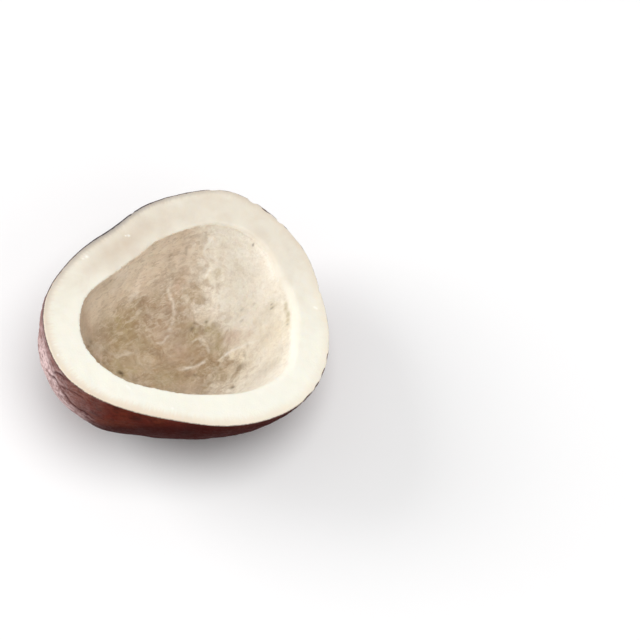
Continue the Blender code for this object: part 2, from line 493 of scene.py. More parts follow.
# Stains in the hollow by colour: the points of a stroke, or one for a round patch, width and strength
STAINS = {
    "olive": (
        ((-19.3, 6.1), 2.8, 0.85), ((-18, 4), 7, 0.5),
        ((-19, -4.4), (-15.4, -8), (-11, -6.2), 1.7, 0.7), ((-16, -8.6), 2.6, 0.8),
        ((-13, -5), 5, 0.35), ((6.2, 10.4), 1.8, 0.8), ((6.3, 7.2), 2.2, 0.6),
        ((9.4, 11.1), (12.5, 9.2), (14, 4.8), (14.1, -0.3), 1.9, 0.65),
        ((31.8, 10), (32.9, 5.1), (33, 0.8), 0.8, 0.7),
        ((28, 20), (31.5, 8), (31.5, -6), (28, -16), 3, 0.22),
        ((28.3, 8.8), 2.2, 0.45), ((-10.2, 24.1), 2.6, 0.4), ((11.6, 25.9), 1.8, 0.5),
        ((-10.3, 2.9), 3.5, 0.4), ((-2, -8), 5, 0.35),
    ),
    "brown": (
        ((-16.9, 15.6), (-12.3, 20.8), 0.6, 0.6),
        ((-7.1, 25.2), (-4.5, 26.7), (-1.2, 28.6), 0.45, 0.65), ((-4.8, 13.9), 2, 0.55),
        ((-25.1, -0.7), 2, 0.7), ((-27.9, -5), (-26.4, -2.7), 1, 0.7),
        ((-0.2, -1.9), 1.8, 0.5), ((-4, 8.5), (0.5, 6.5), (4.5, 5.5), 3, 0.45),
        ((-3.5, 16), (-3, 9), 2.6, 0.35), ((4.4, -7.2), (8, -6.8), 0.5, 0.6),
        ((10.6, -11.5), (13.3, -11.1), 0.5, 0.6), ((5.8, 0), 1.5, 0.45),
        ((3.9, 22.8), (5.9, 22.4), 0.6, 0.5), ((-25.3, 3.4), (-23.6, 5.1), 0.5, 0.5),
        ((-24.2, 0.9), (-21.2, 0.4), (-19.5, -1.2), 0.5, 0.6),
        ((-2.8, 17.4), (-2.3, 18.7), 0.45, 0.6), ((1.2, 30.2), (3.8, 31.1), 0.4, 0.5),
        ((-10.5, 16.1), (-11.5, 14), 0.5, 0.4), ((3, 10.5), 3, 0.35),
        ((-3, 7.5), 4.5, 0.4), ((-28.2, -3.6), 2.8, 0.55), ((20.7, -6.8), 1.3, 0.5),
        # Painted shadow: this stroke and the next darken the side of the raised veins near (6, 31) and (8,
        # 25)
        ((5, 30.3), (5.8, 31.9), (7.2, 33.1), 0.6, 0.45),
        ((6.9, 24.6), (7.7, 26), (8.3, 27.2), 0.5, 0.4),
    ),
    "rosy": (
        ((-7.2, 26.7), 4, 0.4), ((-1.1, 29.8), 3.8, 0.4), ((-10.7, 18.2), 2.4, 0.5),
        ((-1.1, 22.3), 1.6, 0.6), ((-29.8, -1.6), 2.4, 0.8), ((-24.1, -6.2), 1.4, 0.7),
        ((2.7, 2.2), 4.2, 0.55), ((18.3, 4.3), 2.8, 0.75), ((23.3, 4.5), 1.8, 0.5),
        ((-4, 8), 3, 0.4), ((-20, 10.5), 3, 0.3),
    ),
    "grey": (
        ((-6.8, 18.9), 2.4, 0.55), ((-3.5, 24.3), 2.2, 0.5), ((1.4, 27.7), 2.8, 0.4),
        ((20.7, -6.8), 1.3, 0.25), ((27.4, 0), 1.8, 0.35), ((31.3, -7.9), 2.2, 0.3),
        ((11.7, 28.7), 1.2, 0.4), ((-28.6, -3.6), 2.4, 0.4), ((-25.6, -4.8), 2.2, 0.4),
        ((7.2, 27.1), 3, 0.35), ((27, -13), 3.5, 0.35), ((22, 24), 3.5, 0.12),
        ((30, 13), (28, -4), 5, 0.14),
    ),
    "warm": (
        ((-11, 3), (8, -2), (25, -6), 8, 1), ((16, -5), 8, 0.9),
        ((30, 0), 6, 0.8),
    ),
}
# Where the lining is thin and lighter, partly painted light that brightens walls the lamps leave dim, most
# of all the upper-left and left walls near the edge
THIN_AND_LIT_PATCHES = (
    (-30, 8, 6, 0.5), (1, 32, 8, 0.75), (3, 25, 6, 0.35), (-13, -7, 6.5, 0.18), (-1, -12.5, 4.5, 0.2),
    (6.5, -13.5, 5, 0.28), (13.5, -14, 5, 0.28),
)
# Strength of the painted shade that darkens the tan deeper down the hollow
DEEP_SHADE_STRENGTH = 0.75
# Where the hollow turns from tan to cream, partly the lining's own colours and partly painted light on its
# right side and painted shade on its left and low side: P along Q, and how far before and after it that turn
# reaches
CREAM_AND_LIGHT_AT_Q = (-20, -12, -8.4, -3.4, 0.9, 4.7, 8.9, 12.9, 16, 24, 27, 32, 38)
CREAM_AND_LIGHT_FROM_P = (14, 17, 19.5, 19.3, 17.9, 16.6, 13.6, 11.7, 10.5, 10.9, 10.4, 7.2, 2.8)
CREAM_AND_LIGHT_BEFORE = 9.5
CREAM_AND_LIGHT_AFTER = 8.5
# Paler patches on the tan, and patches that push the cream back by some millimetres
PALE_PATCHES = ((15, -10.5, 7, 0.35),)
TAN_PATCHES = ((22.5, -9.5, 6, 3.2),)
# Where short dark and light strands show, and how much they do elsewhere
STRAND_PATCHES = ((-20, 12, 12, 0.9), (-8, 23, 12, 0.9), (0, 31, 7, 0.7), (-16, -2, 9, 0.3))
STRANDS_ELSEWHERE = 0.25
# Depths where the lining begins and is whole: at the crisp edge, and how much more at the soft one
LINING_FROM = (0.1, 0.25)
LINING_WHOLE = (0.45, 2.4)
# Depth and spread of the painted shade, a brown line under the edge
EDGE_SHADE_DOWN = (0.45, 0.3)

# How mellow the cut is, partly the flesh's greyer translucent tone and partly painted shade on its upper
# side: everywhere and on arcs, in a band with its places, spreads and shares across it
MELLOW_AND_SHADE_BASE = 0.07
MELLOW_AND_SHADE_ARCS = {"left cut": 0.08, "upper cut": 0.31, "right cut": 0.3}
MELLOW_AND_SHADE_BAND = 0.36
MELLOW_AND_SHADE_ACROSS = ((0.46, 0.25, 1), (0.98, 0.1, 0.6))
MELLOW_AND_SHADE_CLOUD_BASE = 0.3
FRINGE_BASE = 0.22
FRINGE_MORE = 0.42
# How far the hollow's edge is pushed inwards at the lower right, and how wide that and the crumble reach
PUSH = 0.7
PUSH_REACH = 6
CRUMBLE_REACH = 0.9
CRUMBLE_ELSEWHERE = 0.15
# Roughness of the outer edge everywhere, and how much more on its arc
ROUGH_BASE = 0.18
ROUGH_MORE = 0.8
# Gaps in the skin's outer edge: clock angle, half width in degrees, depth and how far the skin has gone,
# and the power that makes them square
EDGE_CHIPS = (
    (81, 1.3, 0.3, 0.8), (66, 1.6, 0.65, 1.5), (53, 1.2, 0.45, 0.5), (49.2, 1.2, 0.05, -0.42),
    (59.6, 2.2, 0, -0.42), (346, 1.6, 0.05, -0.22), (338.5, 2.2, 0.05, -0.25), (332, 1.6, 0.1, -0.22),
    (325.5, 2.6, 0, -0.25), (45, 3.4, 0.25, 1), (18, 1.3, 0.4, 0.9), (230, 1, 0.15, 0.3),
    (118, 0.9, 0.2, 0.4),
)
CHIP_POWER = 4
# Small raised specks on the cut, painted white as glints: place, width and height
SPECKS_AND_GLINTS = (
    ((-19.2, 25.3), 0.4, 0.12), ((-20.2, 25.1), 0.28, 0.08), ((-31.8, 14.9), 0.5, 0.12),
    ((-33, 14), 0.28, 0.08), ((-38.2, -22.4), 0.35, 0.08), ((40.6, 7), (42, 6.2), 0.35, 0.1),
    ((-17.4, -30.2), (-15.8, -31.4), 0.35, 0.08), ((-3, -36.4), 0.35, 0.08),
)
# Creases in the skin, darkened with painted shade: clock angle and millimetres down from the edge, with
# width and depth
CREASES = (
    ((213, 4.8), (216.5, 2.2), (221.5, 0.2), 0.42, 0.4),
    ((210.5, 8.6), (214.5, 6.6), (218, 7), (222.5, 8.7), (228, 10.7), (232, 11.6), (238, 13.5), 0.42, 0.45),
    ((217.5, 6.4), (221.5, 4.6), (225.5, 3.2), (230, 3.4), 0.3, 0.25),
    ((222.5, 12.6), (226, 13), (230, 13.9), (234, 16), (239, 17.5), 0.4, 0.35),
    ((196, 1.6), (204.5, 2.6), (209.5, 3.4), 0.3, 0.15), ((219.6, 11.6), (221.2, 12.4), 0.55, 0.55),
)
# Light scratches, and pale ridges with their height, placed the same way
SCRATCHES = (
    ((240, 8.9), (242.5, 5.8), (245.5, 6.3), 0.25, 0.1), ((242.5, 12), (245, 8), 0.22, 0.1),
    ((249, 8.3), (252, 5), (256, 4.4), 0.22, 0.08), ((262, 8), (268, 7), 0.2, 0.06),
)
FOLDS = (
    ((211, 5.6), (215, 8.3), (220, 9.7), (225.5, 11.4), (231.5, 12.5), (236, 13.4), 0.85, 0.45),
    ((192, 5), (200, 6.5), (207, 9), (211, 12), 1, 0.35), ((212, 3.6), (216, 4.8), (219.5, 5.4), 0.7, 0.25),
)
# Dark blotches: clock angle, millimetres down, radius, strength
BLOTCHES = ((252, 2.9, 1.6, 0.8), (243, 1, 0.9, 0.6), (247, 3.4, 0.8, 0.4), (275, 7, 2.4, 0.6))
# How far down the skin the painted shade of its dark foot begins, by clock angle
FOOT_SHADE_CLOCKS = (225, 238, 250, 262, 275, 320)
FOOT_SHADE_DOWNS = (18, 11.5, 4.5, 0, -5, -6)
# How far down the skin the whitish bloom, partly dust and partly a painted sheen, begins, by clock angle
DUST_AND_SHEEN_CLOCKS = (150, 200, 208, 213, 218, 222.5, 228, 233, 240, 255)
DUST_AND_SHEEN_DOWNS = (-3, -1.5, 0.5, 2.5, 6.8, 8.6, 10.7, 12, 15.5, 24)

# How much of the skin's thickness shows on the cut, and how much more at the upper left
SKIN_LINE = 0.04
SKIN_LINE_TOP = 0.6
# Relief of the skin, and how much of the net and of the grain its calm part lacks
SKIN_WAVE_RISE = 0.3
FOLD_RISE = 0.22
FOLD_MIDDLE = 0.4
FOLDS_ELSEWHERE = 0.6
NET_DENT = 0.26
SKIN_FIBRE_RISE = 0.1
CALM_NET = 0.9
CALM_GRAIN = 0.6
# How ragged the painted shade of the dark foot is, how much painted shade darkens creases and net, and how
# rubbed fibres, scratches and folds
FOOT_SHADE_RAGGED = 2.5
CREASE_SHADE = 3
NET_SHADE = 0.7
FIBRE_RUBBED = 0.7
SCRATCH_RUBBED = 7
FOLD_RUBBED = 0.3
# The bloom on the left side and in front, partly dust and partly a painted sheen where the skin catches the
# light at its edge: how strong it is from the edge on, and how much more below
DUST_AND_SHEEN_STRENGTHS = {"bloom": (0.2, 0.3), "front dust and sheen": (0.14, 0.5)}
DUST_AND_SHEEN_ON_PLEATS = 0.6


def arc(clock, name):
    return clock_bump(clock, *ARCS[name])


def span(clock, name):
    """1 in the middle of a stretch round the clock and 0 outside it."""
    middle, begins, whole = SPANS[name]
    return smooth(begins, whole, np.abs(clock_gap(clock, middle)))


def ramp(values, name):
    return smooth(*RAMPS[name], values)


def dress_hollow(surface, marks, lift):
    """Fibres, veins and spots of the hollow: their relief and their masks."""
    here = np.isin(surface.zone, (HOLLOW, INNER_EDGE))
    points, clock = surface.point[here], surface.clock[here]
    p, q, down = points[:, 0], points[:, 1], -points[:, 2]
    turn = math.radians(FIBRE_TURN)
    along = p * math.cos(turn) + q * math.sin(turn)
    across = q * math.cos(turn) - p * math.sin(turn)
    flow = warped(np.stack([along, across, points[:, 2]], axis=1), "fibre")
    fibre = ridges(flow, "fibre") * perlin(points, "fibre patch")
    fibre = np.maximum(fibre, LONG_FIBRE_SHARE * ridges(flow, "long fibre"))
    height = FIBRE_RISE * fibre + perlin(flow, "mottle") + perlin(points, "hollow wave")
    vein = np.zeros(len(points))
    wander = warped(points, "vein")[:, :2]
    for *line, width, rise in VEINS:
        mark = line_mark(wander, line, width)
        vein = np.maximum(vein, mark * min(rise / VEIN_FULL_AT, 1))
        height += rise * mark
    spot = blobs(wander[:, 0], wander[:, 1], SPOTS)
    height -= SPOT_DENT * np.minimum(spot, 1)
    lift[here] += height * ramp(down, "relief")
    marks["fibre"][here] = fibre * ramp(down, "relief")
    marks["vein"][here] = vein
    marks["spot"][here] = spot
    spread = warped(points, "stain")[:, :2]
    for tint, strokes in STAINS.items():
        stains = [strength * stain(spread, line, width) for *line, width, strength in strokes]
        marks[tint][here] = np.max(stains, axis=0)
    # Painted shade: a brown line just under the hollow's lower-left edge, laid into the brown stains' mark
    shade = bump_at(down, *EDGE_SHADE_DOWN) * arc(clock, "edge shade") * perlin(points, "edge shade")
    marks["brown"][here] = np.maximum(marks["brown"][here], shade)
    # Painted light: the thin lining near the upper-left edge and its patches are made lighter, partly
    # standing in for light on dim walls
    thin = arc(clock, "thin") * ramp(down + perlin(points, "thin"), "thin")
    marks["thin"][here] = np.maximum(thin, blobs(p, q, THIN_AND_LIT_PATCHES))
    # Painted shade: the tan is darkened deeper down the hollow
    marks["deep"][here] = ramp(down, "deep") * (DEEP_SHADE_STRENGTH + perlin(points, "deep"))
    marks["strands"][here] = np.clip(STRANDS_ELSEWHERE + blobs(p, q, STRAND_PATCHES), 0, 1)
    # Painted light and shade: cream to the right and tan to the left and low side, partly the lining's own
    # colours
    over = p - np.interp(q, CREAM_AND_LIGHT_AT_Q, CREAM_AND_LIGHT_FROM_P) + perlin(points, "cream_and_light") - blobs(p, q, TAN_PATCHES)
    cream_and_light = np.clip((over + CREAM_AND_LIGHT_BEFORE) / (CREAM_AND_LIGHT_BEFORE + CREAM_AND_LIGHT_AFTER), 0, 1)
    marks["pale"][here] = np.maximum(cream_and_light, blobs(p, q, PALE_PATCHES))
    soft = edge_softness(surface.angle[here])
    start, whole = (crisp + more * soft for crisp, more in (LINING_FROM, LINING_WHOLE))
    marks["lining"][here] = smooth(start, whole, down + (1 - soft) * perlin(points, "lining"))


def dress_face(surface, marks, lift):
    """The cut: faint waves, small raised specks painted white as glints, and where it is mellow, partly with
    painted shade, grey or fringed.
    """
    here = np.isin(surface.zone, (INNER_EDGE, FACE, OUTER_EDGE))
    points, clock, share = surface.point[here], surface.clock[here], surface.cut_share[here]
    wave = perlin(points, "cut wave") + perlin(points, "cut ripple")
    lift[here] += wave * ramp(share, "by hollow") * ramp(1 - share, "by skin")
    # Painted glints: small raised specks coloured near white
    for *line, width, rise in SPECKS_AND_GLINTS:
        mark = stain(points[:, :2], line, width)
        marks["speck"][here] = np.maximum(marks["speck"][here], mark)
        lift[here] += rise * mark
    across = sum(part * bump_at(share, at, width) for at, width, part in MELLOW_AND_SHADE_ACROSS)
    # Painted shade: the cut greys towards its upper side, partly its own translucent tone
    mellow = MELLOW_AND_SHADE_BASE + sum(strength * arc(clock, name) for name, strength in MELLOW_AND_SHADE_ARCS.items())
    mellow += MELLOW_AND_SHADE_BAND * arc(clock, "band") * across
    mellow += perlin(points, "cut cloud") * (MELLOW_AND_SHADE_CLOUD_BASE + arc(clock, "upper cut"))
    marks["mellow"][here] = np.clip(mellow, 0, 1)
    marks["greyed"][here] = arc(clock, "greyed")
    marks["fringe"][here] = FRINGE_BASE + FRINGE_MORE * arc(clock, "fringe")


def wobble_edges(surface, lift_out):
    """Pushes both edges of the cut in and out, and gives how far down the skin has gone."""
    clock = surface.clock
    ring = ring_points(MEAN_RIM, surface.angle, 0)
    crumble = (perlin(ring, "crumble") + perlin(ring, "crumb")) * (arc(clock, "crumble") + CRUMBLE_ELSEWHERE)
    lift_out -= PUSH * arc(clock, "pushed") * fade(surface.from_hollow, PUSH_REACH)
    lift_out -= crumble * fade(surface.from_hollow, CRUMBLE_REACH)
    rough = ROUGH_BASE + ROUGH_MORE * arc(clock, "rough")
    wobble = rough * (perlin(ring, "edge wave") + perlin(ring, "edge ripple"))
    gone = rough * (perlin(ring, "skin gone") + perlin(ring, "skin nicked"))
    for centre, half, depth, bare in EDGE_CHIPS:
        shape = np.exp(-((clock_gap(clock, centre) / half) ** CHIP_POWER))
        wobble -= depth * shape
        gone += bare * shape
    lift_out += wobble * ramp(-np.abs(surface.inward), "by edge")
    return gone - SKIN_LINE_TOP * arc(clock, "cut skin")


def skin_strokes(places, strokes):
    """Strokes placed by clock angle and millimetres down, each as high as it says."""
    total = np.zeros(len(places))
    for *line, width, rise in strokes:
        line = [(turn * math.radians(MEAN_RIM), drop) for turn, drop in line]
        total = np.maximum(total, rise * line_mark(places, line, width))
    return total


def dress_skin(surface, marks, lift):
    """The skin: leathery wrinkles, creases near the edge and fine cracks darkened with painted shade,
    scratches, a foot darkened with painted shade, and a whitish bloom that is partly dust and partly painted
    sheen.
    """
    here = surface.zone == SKIN
    points, clock, down = surface.point[here], surface.clock[here], surface.down[here]
    broad = perlin(points, "skin wave")
    calm = arc(clock, "calm")
    belt = ring_points(MEAN_RIM, surface.angle[here], down)
    folds = ridges(warped(belt, "fold"), "fold")
    folds_here = ramp(down, "folds") * span(clock, "folds")
    folds_here = np.maximum(folds_here, FOLDS_ELSEWHERE * (1 - calm) * perlin(points, "fold patch"))
    net = cracks(warped(points, "net")) * perlin(points, "net patch") * (1 - CALM_NET * calm)
    fibre = ridges(warped(points, "skin fibre"), "skin fibre") * perlin(points, "skin fibre patch")
    places = np.column_stack([clock * math.radians(MEAN_RIM), down])
    wandering = places + (warped(points, "crease") - points)[:, :2]
    crease, scratch, pleat = (skin_strokes(wandering, strokes) for strokes in (CREASES, SCRATCHES, FOLDS))
    height = SKIN_WAVE_RISE * broad + FOLD_RISE * (folds - FOLD_MIDDLE) * folds_here - NET_DENT * net
    height += (1 - CALM_GRAIN * calm) * (perlin(points, "skin grain") + SKIN_FIBRE_RISE * fibre)
    lift[here] += (height - crease + scratch + pleat) * ramp(down, "skin relief")
    # Painted shade: the skin darkens towards its foot at the front, where it nears the floor
    foot = down + FOOT_SHADE_RAGGED * broad - np.interp(clock, FOOT_SHADE_CLOCKS, FOOT_SHADE_DOWNS)
    marks["low"][here] = ramp(foot, "low") * span(clock, "low")
    # Painted shade in the creases and in the net of cracks
    marks["groove"][here] = np.clip(CREASE_SHADE * crease + NET_SHADE * net, 0, 1)
    marks["calm"][here] = calm
    rubbed = FIBRE_RUBBED * fibre * (1 - calm) + SCRATCH_RUBBED * scratch + FOLD_RUBBED * folds * folds_here
    marks["rub"][here] = np.clip(rubbed, 0, 1)
    blotches = [(turn * math.radians(MEAN_RIM), drop, *size) for turn, drop, *size in BLOTCHES]
    marks["blotch"][here] = blobs(places[:, 0], places[:, 1], blotches)
    # Painted sheen, partly dust: the whitish bloom on the left side and in front, stronger on the folds
    below = down - np.interp(clock, DUST_AND_SHEEN_CLOCKS, DUST_AND_SHEEN_DOWNS)
    bloom = 0
    for name, depth in (("bloom", down), ("front dust and sheen", below)):
        base, more = DUST_AND_SHEEN_STRENGTHS[name]
        bloom = bloom + (base + more * ramp(depth, name)) * span(clock, name)
    bloom = bloom * (1 + perlin(points, "bloom")) * ramp(down, "dust and sheen end")
    marks["bloom"][here] = np.clip(bloom + DUST_AND_SHEEN_ON_PLEATS * pleat, 0, 1)


def turn_and_settle(surface, lift, lift_out):
    """Raises the relief, then lays the half down where the solid lies."""
    axis_turn = math.radians(LEAN_TOWARDS)
    axis = (-math.sin(axis_turn), math.cos(axis_turn), 0)
    turn = np.array(Matrix.Rotation(math.radians(LEAN), 3, axis))
    low = surface.point @ turn.T
    seat = low[:, 2].min() + SEAT_CUT
    above_seat = ramp(low[:, 2] - seat, "seat")
    low[:, 2] = np.maximum(low[:, 2], seat)
    cad_low, cad_high = (np.array(corner) / MM for corner in CAD_BOX)
    shift = (cad_low + cad_high) / 2 - (low.min(0) + low.max(0)) / 2
    shift[2] = cad_low[2] - seat
    outward = ring_points(1, surface.angle, 0)
    raised = surface.point + surface.normals() * (lift * above_seat)[:, None] + outward * lift_out[:, None]
    raised = raised @ turn.T + shift
    resting = (above_seat < 1) & (surface.zone == SKIN)
    raised[resting, 2] = np.maximum(raised[resting, 2], 0)
    raised[(low[:, 2] <= seat) & resting, 2] = 0
    return raised * MM


def make_mesh(name, points, quads):
    mesh = bpy.data.meshes.new(name)
    mesh.vertices.add(len(points))
    mesh.vertices.foreach_set("co", points.astype(np.float32).ravel())
    mesh.loops.add(quads.size)
    mesh.loops.foreach_set("vertex_index", quads.astype(np.int32).ravel())
    mesh.polygons.add(len(quads))
    mesh.polygons.foreach_set("loop_start", np.arange(0, quads.size, 4, dtype=np.int32))
    mesh.update(calc_edges=True)
    mesh.validate()
    mesh.shade_smooth()
    return mesh


def build_half():
    surface = Surface()
    marks = collections.defaultdict(lambda: np.zeros(surface.count))
    lift = np.zeros(surface.count)
    lift_out = np.zeros(surface.count)
    dress_hollow(surface, marks, lift)
    dress_face(surface, marks, lift)
    dress_skin(surface, marks, lift)
    marks["bare"] = wobble_edges(surface, lift_out)
    marks["inward"] = surface.inward
    mesh = make_mesh("kernel_half", turn_and_settle(surface, lift, lift_out), surface.quads)
    for name, values in marks.items():
        attribute = mesh.attributes.new(name, "FLOAT", "POINT")
        attribute.data.foreach_set("value", values.astype(np.float32))
    belt = ring_points(MEAN_RIM, surface.angle, surface.inward)
    for name, places in (("own_place", surface.point), ("ring_place", belt)):
        attribute = mesh.attributes.new(name, "FLOAT_VECTOR", "POINT")
        attribute.data.foreach_set("vector", places.astype(np.float32).ravel())
    on_skin = (surface.zone[surface.quads] == SKIN).all(axis=1)
    mesh.materials.append(flesh_material())
    mesh.materials.append(skin_material())
    mesh.polygons.foreach_set("material_index", on_skin.astype(np.int32))
    return bpy.data.objects.new("kernel_half", mesh)


class Paint:
    """A material's node tree, with short calls for the nodes that it needs."""

    def __init__(self, name):
        self.material = bpy.data.materials.new(name)
        self.material.use_nodes = True
        self.tree = self.material.node_tree
        self.shader = self.tree.nodes["Principled BSDF"]

    def node(self, kind, **settings):
        made = self.tree.nodes.new("ShaderNode" + kind)
        for name, value in settings.items():
            setattr(made, name, value)
        return made

    def feed(self, socket, value):
        if isinstance(value, bpy.types.NodeSocket):
            self.tree.links.new(value, socket)
        elif hasattr(socket.default_value, "__len__") and not hasattr(value, "__len__"):
            socket.default_value = [value] * len(socket.default_value)
        else:
            socket.default_value = value

    def mark(self, name):
        return self.node("Attribute", attribute_name=name).outputs["Fac"]

    def place(self, name, stretch=(1, 1, 1), turn=0):
        """A place on the half, with textures stretched along axes turned in the cut."""
        source = self.node("Attribute", attribute_name=name).outputs["Vector"]
        mapping = self.node("Mapping", vector_type="TEXTURE")
        self.feed(mapping.inputs["Vector"], source)
        mapping.inputs["Scale"].default_value = stretch
        mapping.inputs["Rotation"].default_value = (0, 0, math.radians(turn))
        return mapping.outputs["Vector"]

    def noise(self, place, scale, detail, rough, distortion=0, seed=0):
        made = self.node("TexNoise", noise_dimensions="4D")
        self.feed(made.inputs["Vector"], place)
        for name, value in (("Scale", scale), ("Detail", detail), ("Roughness", rough),
                            ("Distortion", distortion), ("W", seed)):
            made.inputs[name].default_value = value
        return made.outputs["Fac"]

    def pattern(self, place, name):
        """A noise by its name in the table, taken to another range where the table gives one."""
        settings, *ranges = PATTERNS[name]
        level = self.noise(place, *settings)
        return self.fit(level, *ranges[0]) if ranges else level

    def threads(self, place, scale, width, strength):
        """Thin winding lines along the level lines of a noise, in patches."""
        level = self.minus(self.noise(place, scale, *THREAD_NOISE), 0.5)
        line = self.fit(self.math("ABSOLUTE", level), 0, width, strength, 0)
        patch = self.noise(place, THREAD_PATCH_SCALE * scale, *THREAD_PATCH_NOISE)
        return self.times(line, self.fit(patch, *THREAD_PATCH_RANGE))

    def cells(self, place, scale):
        made = self.node("TexVoronoi", feature="DISTANCE_TO_EDGE")
        self.feed(made.inputs["Vector"], place)
        made.inputs["Scale"].default_value = scale
        return made.outputs["Distance"]

    def math(self, operation, a, b=0):
        made = self.node("Math", operation=operation)
        for socket, value in zip(made.inputs, (a, b)):
            self.feed(socket, value)
        return made.outputs[0]

    def plus(self, a, b):
        return self.math("ADD", a, b)

    def minus(self, a, b):
        return self.math("SUBTRACT", a, b)

    def times(self, level, *others):
        for other in others:
            level = self.math("MULTIPLY", level, other)
        return level

    def fit(self, value, low, high, to_low=0, to_high=1):
        """The value's range from low to high taken smoothly to another."""
        made = self.node("MapRange", interpolation_type="SMOOTHSTEP")
        for name, given in (("Value", value), ("From Min", low), ("From Max", high),
                            ("To Min", to_low), ("To Max", to_high)):
            self.feed(made.inputs[name], given)
        return made.outputs["Result"]

    def ranged(self, value, name):
        return self.fit(value, *RANGES[name])

    def mix(self, share, a, b, blend="MIX"):
        made = self.node("Mix", data_type="RGBA", blend_type=blend)
        for socket, value in ((made.inputs[0], share), (made.inputs[6], a), (made.inputs[7], b)):
            if hasattr(value, "__len__") and len(value) == 3:
                value = (*value, 1)
            self.feed(socket, value)
        return made.outputs[2]

    def layered(self, colour, *layers):
        """Tints laid over a colour one after another, each by the product of its shares."""
        for tint, *shares in layers:
            colour = self.mix(self.times(*shares), colour, tint)
        return colour

    def bump(self, height, strength, distance):
        made = self.node("Bump")
        self.feed(made.inputs["Height"], height)
        made.inputs["Strength"].default_value = strength
        made.inputs["Distance"].default_value = distance * MM
        return made.outputs["Normal"]

    def finish(self, colour, rough, normal):
        self.feed(self.shader.inputs["Base Color"], colour)
        self.feed(self.shader.inputs["Roughness"], rough)
        self.feed(self.shader.inputs["Normal"], normal)
        return self.material


# Colours in linear light
FACE_LIGHT = (0.93, 0.91, 0.81)
# Greyer tone of the cut, partly painted shade on its upper side
FACE_MELLOW_AND_SHADE = (0.68, 0.57, 0.45)
FACE_FRINGE = (0.74, 0.57, 0.42)
FACE_GREYED = (0.62, 0.56, 0.48)
FACE_RIND = (0.27, 0.235, 0.23)
# Painted glints on the cut's specks
FACE_SPECK_GLINT = (1, 0.97, 0.9)
HOLLOW_TAN = (0.47, 0.345, 0.22)
HOLLOW_DARK = (0.36, 0.26, 0.165)
HOLLOW_LINE = (0.3, 0.2, 0.13)
# Cream of the hollow, partly its own colour and partly painted light on its right side
HOLLOW_CREAM_AND_LIGHT = (0.985, 0.925, 0.81)
HOLLOW_LILAC = (0.84, 0.77, 0.7)
HOLLOW_FIBRE = (0.78, 0.67, 0.52)
HOLLOW_GLINT = (0.86, 0.78, 0.64)
# Thin lining, lighter; partly painted light on dim walls
HOLLOW_THIN_AND_LIT = (0.97, 0.84, 0.69)
# Painted shade deeper down the hollow, laid on by multiplying
HOLLOW_DEEP_SHADE = (0.78, 0.72, 0.64)
HOLLOW_WARM = (1, 0.965, 0.88)
# Brown of real stains and strands, also used for painted shade under the edge and beside two veins
HOLLOW_BROWN = (0.34, 0.235, 0.15)
HOLLOW_GREY = (0.48, 0.42, 0.34)
HOLLOW_OLIVE = (0.42, 0.33, 0.16)
HOLLOW_ROSY = (0.64, 0.465, 0.35)
VEIN_COLOUR = (0.97, 0.9, 0.79)
SPOT_COLOUR = (0.13, 0.08, 0.035)
SKIN_BROWN = (0.15, 0.025, 0.015)
SKIN_DARK = (0.026, 0.007, 0.006)
# Painted shade at the skin's foot
SKIN_FOOT_SHADE = (0.05, 0.007, 0.005)
SKIN_RUSSET = (0.185, 0.043, 0.02)
SKIN_RUBBED = (0.3, 0.155, 0.11)
# Whitish bloom, partly dust and partly a painted sheen
SKIN_DUST_AND_SHEEN = (0.82, 0.62, 0.61)
SKIN_CUT = (0.085, 0.034, 0.028)
SKIN_CUT_GREY = (0.055, 0.043, 0.05)
# Painted shade in the skin's creases
SKIN_CREASE_SHADE = (0.08, 0.021, 0.023)

# Noises of the materials: scale, detail, roughness, distortion and seed; for some of them the range
# from low to high that counts, and what it becomes where that isn't 0 to 1
PATTERNS = {
    "skin drift": ((0.1, 4, 0.6), (0.38, 0.66)), "skin blotch": ((0.3, 5, 0.65, 0.6), (0.45, 0.7, 0, 0.65)),
    "skin grain": ((1.1, 6, 0.7, 0.5), (0.35, 0.68, 0, 0.3)),
    "skin gloss": ((0.9, 4, 0.6), (0.3, 0.7, 0.42, 0.66)), "skin pits": ((1.1, 6, 0.65),),
    "skin streaks": ((1, 5, 0.6, 0.8),), "dust streaks": ((1, 6, 0.68, 0.8),),
    "dust flecks": ((0.8, 5, 0.65, 0.8),), "rub": ((0.8, 4, 0.7),),
    "hollow swirl": ((0.16, 8, 0.6, 1.5), (0.36, 0.6)),
    "cream cloud": ((0.22, 8, 0.62, 1.6), (0.34, 0.66, -0.22, 0.22)),
    "stain gaps": ((0.35, 7, 0.65, 1, 21), (0.35, 0.65, 0.55, 1.1)),
    "vein gaps": ((0.8, 4, 0.6, 0, 22), (0.35, 0.6, 0.35, 0.9)),
    "hollow flecks": ((1.1, 4, 0.7, 0.6), (0.6, 0.72, 0, 0.2)), "hollow streaks": ((1, 4, 0.6, 1),),
    "hollow strands": ((0.6, 6, 0.62, 1.2),), "lining wobble": ((0.7, 4, 0.6), (0.3, 0.7, -0.1, 0.1)),
    "cut cloud": ((0.16, 5, 0.55, 0.4), (0.35, 0.75, -0.06, 0.08)), "fringe": ((1, 4, 0.6),),
    "skin line wobble": ((2.5, 3, 0.6), (0.3, 0.7, -0.06, 0.06)), "flesh grain": ((1.6, 6, 0.6),),
    "flesh gloss": ((1.2, 4, 0.6), (0.3, 0.7, 0.48, 0.62)),
}
